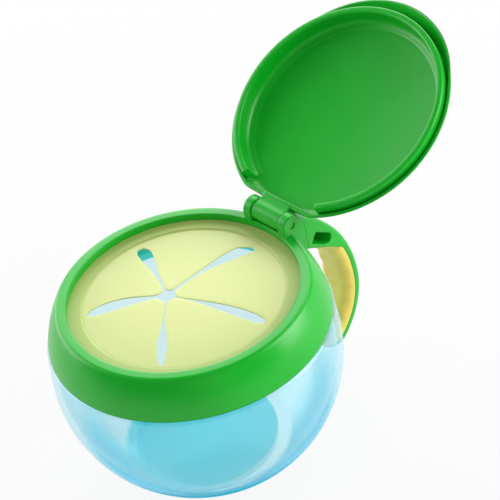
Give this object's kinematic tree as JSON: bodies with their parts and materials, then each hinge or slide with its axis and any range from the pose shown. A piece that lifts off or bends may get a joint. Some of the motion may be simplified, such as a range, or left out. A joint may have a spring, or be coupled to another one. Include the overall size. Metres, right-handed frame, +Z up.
{
  "type": "toddler snack container",
  "caption": "Round translucent snack cup with a screw collar, an open side handle with a soft grip, a soft slit flap disc in its mouth and a hinged flip lid.",
  "frame": {"origin": "on the bowl's axis, on the surface that the cup stands on", "axes": "+Z up along the bowl's axis, +X towards the lid hinge and the handle, +Y along the hinge axis"},
  "size_m": [0.1531, 0.09, 0.1023],
  "materials": {
    "bowl": "clear tinted, glossy",
    "shell": "moulded, soft gloss",
    "grip": "soft, matt",
    "flaps": "soft, slightly translucent",
    "pin": "plain"
  },
  "bodies": {
    "bowl": {"bowl": "bowl"},
    "disc": {"flap_rim": "flaps"},
    "collar": {"collar": "shell", "handle": "shell", "handle_grip": "grip", "hinge_pin": "pin"},
    "lid": {"lid": "shell"},
    "flap_1": {"flap_1": "flaps"},
    "flap_2": {"flap_2": "flaps"},
    "flap_3": {"flap_3": "flaps"},
    "flap_4": {"flap_4": "flaps"},
    "flap_5": {"flap_5": "flaps"}
  },
  "joints": [
    {"name": "collar_lift", "type": "slide", "parent": "bowl", "child": "disc", "axis": [0, 0, 1], "range_m": [0, 0.006]},
    {"name": "collar_turn", "type": "hinge", "parent": "disc", "child": "collar", "pos_m": [0, 0, 0.0594], "axis": [0, 0, 1], "range_deg": [0, 270]},
    {"name": "lid_hinge", "type": "hinge", "parent": "collar", "child": "lid", "pos_m": [0.0388, 0, 0.0652], "axis": [0, 1, 0], "range_deg": [-153.6, 0]},
    {"name": "flap_1_bend", "type": "hinge", "parent": "disc", "child": "flap_1", "pos_m": [0.01952, 0.01316, 0.0594], "axis": [0.5592, -0.829, 0], "range_deg": [-10, 65], "stiffness_Nm_per_rad": 0.02},
    {"name": "flap_2_bend", "type": "hinge", "parent": "disc", "child": "flap_2", "pos_m": [-0.00649, 0.02263, 0.0594], "axis": [0.9613, 0.2756, 0], "range_deg": [-10, 65], "stiffness_Nm_per_rad": 0.02},
    {"name": "flap_3_bend", "type": "hinge", "parent": "disc", "child": "flap_3", "pos_m": [-0.02353, 0.00082, 0.0594], "axis": [0.0349, 0.9994, 0], "range_deg": [-10, 65], "stiffness_Nm_per_rad": 0.02},
    {"name": "flap_4_bend", "type": "hinge", "parent": "disc", "child": "flap_4", "pos_m": [-0.00805, -0.02212, 0.0594], "axis": [-0.9397, 0.342, 0], "range_deg": [-10, 65], "stiffness_Nm_per_rad": 0.02},
    {"name": "flap_5_bend", "type": "hinge", "parent": "disc", "child": "flap_5", "pos_m": [0.01855, -0.01449, 0.0594], "axis": [-0.6157, -0.788, 0], "range_deg": [-10, 65], "stiffness_Nm_per_rad": 0.02}
  ],
  "couplings": [
    {"joint": "collar_lift", "follows": "collar_turn", "m_per_rad": 0.00127}
  ]
}
